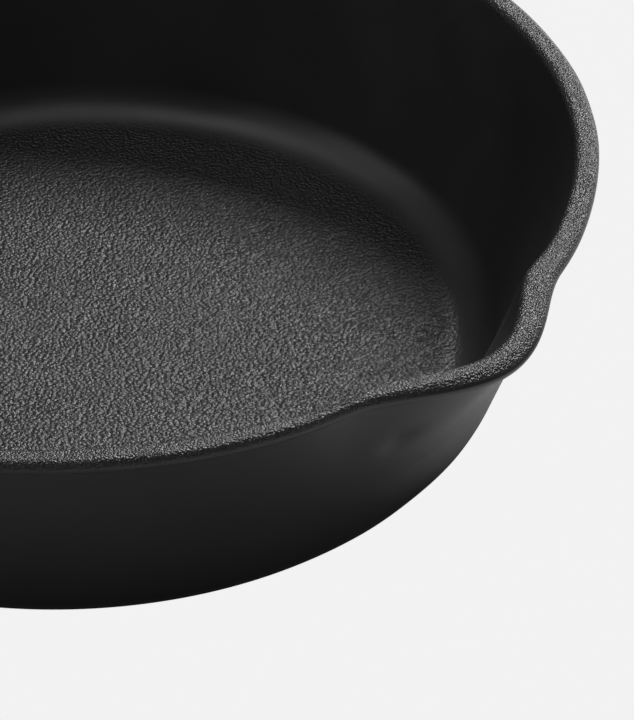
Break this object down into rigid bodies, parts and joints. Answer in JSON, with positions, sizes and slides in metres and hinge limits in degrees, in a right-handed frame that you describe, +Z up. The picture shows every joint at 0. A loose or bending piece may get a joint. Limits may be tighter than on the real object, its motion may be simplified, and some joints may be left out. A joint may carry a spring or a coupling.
{
  "type": "cast iron skillet",
  "caption": "Round cast iron frying pan with flared wall, beaded rim, opposed pour spouts, flat base and a tapered handle with a round hanging hole.",
  "frame": {"origin": "centre of the flat base, on the surface that the pan stands on", "axes": "+Z up, +X out along the handle, the pour spouts on +Y and -Y"},
  "size_m": [0.3261, 0.2222, 0.063],
  "materials": {
    "seasoned_iron": "sand-cast iron with a satin black oil seasoning, pebbly on the cooking floor and sandy along the rim"
  },
  "bodies": {
    "root": {"cooking_floor": "seasoned_iron", "base_corner": "seasoned_iron", "side_wall": "seasoned_iron", "rim_handle_side": "seasoned_iron", "rim_far_side": "seasoned_iron", "pour_spout_left": "seasoned_iron", "pour_spout_right": "seasoned_iron", "handle_root": "seasoned_iron", "handle_grip": "seasoned_iron", "hang_eye": "seasoned_iron"}
  },
  "joints": []
}
